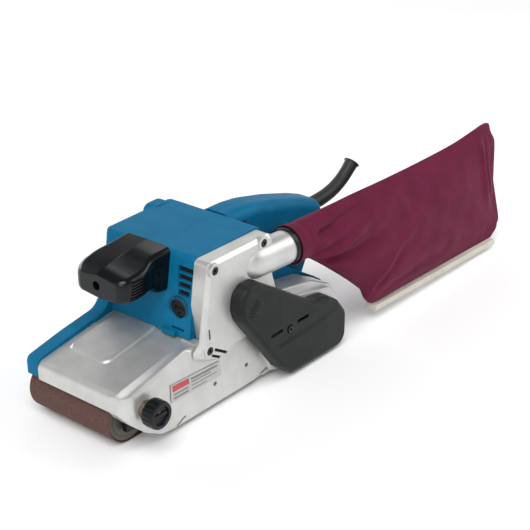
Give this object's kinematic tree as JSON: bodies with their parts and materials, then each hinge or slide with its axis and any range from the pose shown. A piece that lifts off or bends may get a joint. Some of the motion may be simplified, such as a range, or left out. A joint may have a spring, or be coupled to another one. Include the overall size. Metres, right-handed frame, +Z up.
{
  "type": "handheld belt sander",
  "caption": "Electric hand belt sander with front grip, loop rear handle, side belt drive under a dark cover, and a cloth dust bag on a side spigot.",
  "frame": {"origin": "middle of the sanding face: half way between the two roller axes, on the centreline, on the flat run of the belt", "axes": "+X to the rear (towards the cord), -Y to the left side that carries the belt cover and dust bag, +Z up"},
  "size_m": [0.58, 0.1592, 0.1524],
  "materials": {
    "frame_casting": "satin cast, clear coated",
    "fan_casing": "satin cast, clear coated",
    "housing": "fine satin grain",
    "dark_cover": "fine matte grain",
    "grip": "polished",
    "rubber": "matte",
    "steel": "machined",
    "spring_wire": "oiled",
    "brass": "machined",
    "carbon": "matte",
    "graphite_pad": "graphite-faced cork",
    "roller_alloy": "turned",
    "abrasive": "coated abrasive grain",
    "plate": "printed foil",
    "bag_cloth": "woven",
    "rail_plastic": "smooth"
  },
  "bodies": {
    "tool": {"base_frame": "frame_casting", "belt_cover": "dark_cover", "belt_cover_screw": "steel", "brush_cap_front": "dark_cover", "brush_cap_rear": "dark_cover", "brush_holder_front": "brass", "brush_holder_rear": "brass", "carbon_brush_front": "carbon", "carbon_brush_rear": "carbon", "cord_guard": "rubber", "drive_bearing_left": "steel", "drive_bearing_right": "steel", "end_bracket": "frame_casting", "field_core": "steel", "front_grip": "grip", "front_grip_screw": "steel", "handle_left": "housing", "handle_right": "housing", "handle_screw_1": "steel", "handle_screw_2": "steel", "handle_screw_3": "steel", "lever_pivot": "steel", "motor_bearing_left": "steel", "motor_bearing_right": "steel", "motor_housing": "housing", "name_plate": "plate", "rear_cover": "housing", "sanding_belt": "abrasive", "shoe_pad": "graphite_pad", "shoe_plate": "steel", "side_cover": "fan_casing", "side_cover_screw_1": "steel", "side_cover_screw_2": "steel", "side_cover_screw_3": "steel", "side_guard": "housing", "switch_body": "dark_cover", "tension_spring": "spring_wire", "timing_belt": "rubber", "tracking_spring": "spring_wire"},
    "drive_train": {"drive_roller": "rubber", "drive_shaft": "steel", "large_pulley": "frame_casting"},
    "rotor": {"armature_shaft": "steel", "armature_core": "steel", "commutator": "brass", "cooling_fan": "dark_cover", "dust_fan": "fan_casing", "small_pulley": "steel"},
    "lever": {"tension_lever": "dark_cover"},
    "yoke": {"roller_yoke": "steel"},
    "axle": {"front_axle": "steel"},
    "idler": {"front_roller": "roller_alloy"},
    "tracker": {"tracking_knob": "dark_cover", "tracking_screw": "steel"},
    "switch_trigger": {"trigger": "dark_cover"},
    "lock": {"lock_button": "dark_cover"},
    "bag": {"dust_bag": "bag_cloth", "bag_collar": "rubber"},
    "rail": {"bag_fastener": "rail_plastic"}
  },
  "joints": [
    {"name": "drive_roller_spin", "type": "hinge", "parent": "tool", "child": "drive_train", "pos_m": [0.1125, 0, 0.027], "axis": [0, 1, 0], "continuous": true},
    {"name": "rotor_spin", "type": "hinge", "parent": "tool", "child": "rotor", "pos_m": [0.0055, 0, 0.097], "axis": [0, 1, 0], "continuous": true},
    {"name": "tension_lever_turn", "type": "hinge", "parent": "tool", "child": "lever", "pos_m": [-0.0385, 0.051, 0.024], "axis": [0, 0, 1], "range_deg": [0, 110]},
    {"name": "yoke_slide", "type": "slide", "parent": "tool", "child": "yoke", "axis": [1, 0, 0], "range_m": [0, 0.008], "deforming": ["tension_spring"]},
    {"name": "tracking_knob_turn", "type": "hinge", "parent": "tool", "child": "tracker", "pos_m": [-0.1155, -0.08, 0.042], "axis": [0, -1, 0], "range_deg": [-540, 540]},
    {"name": "axle_tilt", "type": "hinge", "parent": "yoke", "child": "axle", "pos_m": [-0.1125, 0, 0.024], "axis": [0, 0, 1], "range_deg": [-0.3, 0.3]},
    {"name": "front_roller_spin", "type": "hinge", "parent": "axle", "child": "idler", "pos_m": [-0.1125, 0, 0.024], "axis": [0, 1, 0], "continuous": true},
    {"name": "trigger_pull", "type": "hinge", "parent": "tool", "child": "switch_trigger", "pos_m": [0.079, -0.007, 0.1155], "axis": [0, -1, 0], "range_deg": [0, 8], "stiffness_Nm_per_rad": 1.5, "springref_deg": -2.86},
    {"name": "lock_button_press", "type": "slide", "parent": "tool", "child": "lock", "axis": [0, 1, 0], "range_m": [0, 0.003], "stiffness_N_per_m": 800, "springref_m": -0.001},
    {"name": "bag_swing", "type": "hinge", "parent": "tool", "child": "bag", "pos_m": [0.08036, -0.07398, 0.124], "axis": [-0.9976, 0.0698, 0], "range_deg": [0, 90]},
    {"name": "bag_rail_slide", "type": "slide", "parent": "bag", "child": "rail", "axis": [0.9994, 0, -0.0337], "range_m": [0, 0.2265]}
  ],
  "couplings": [
    {"joint": "rotor_spin", "follows": "drive_roller_spin", "ratio": 3.3333},
    {"joint": "front_roller_spin", "follows": "drive_roller_spin", "ratio": 1.125},
    {"joint": "tension_lever_turn", "follows": "yoke_slide", "rad_per_m": 239.98},
    {"joint": "axle_tilt", "follows": "tracking_knob_turn", "ratio": 0.000555}
  ]
}
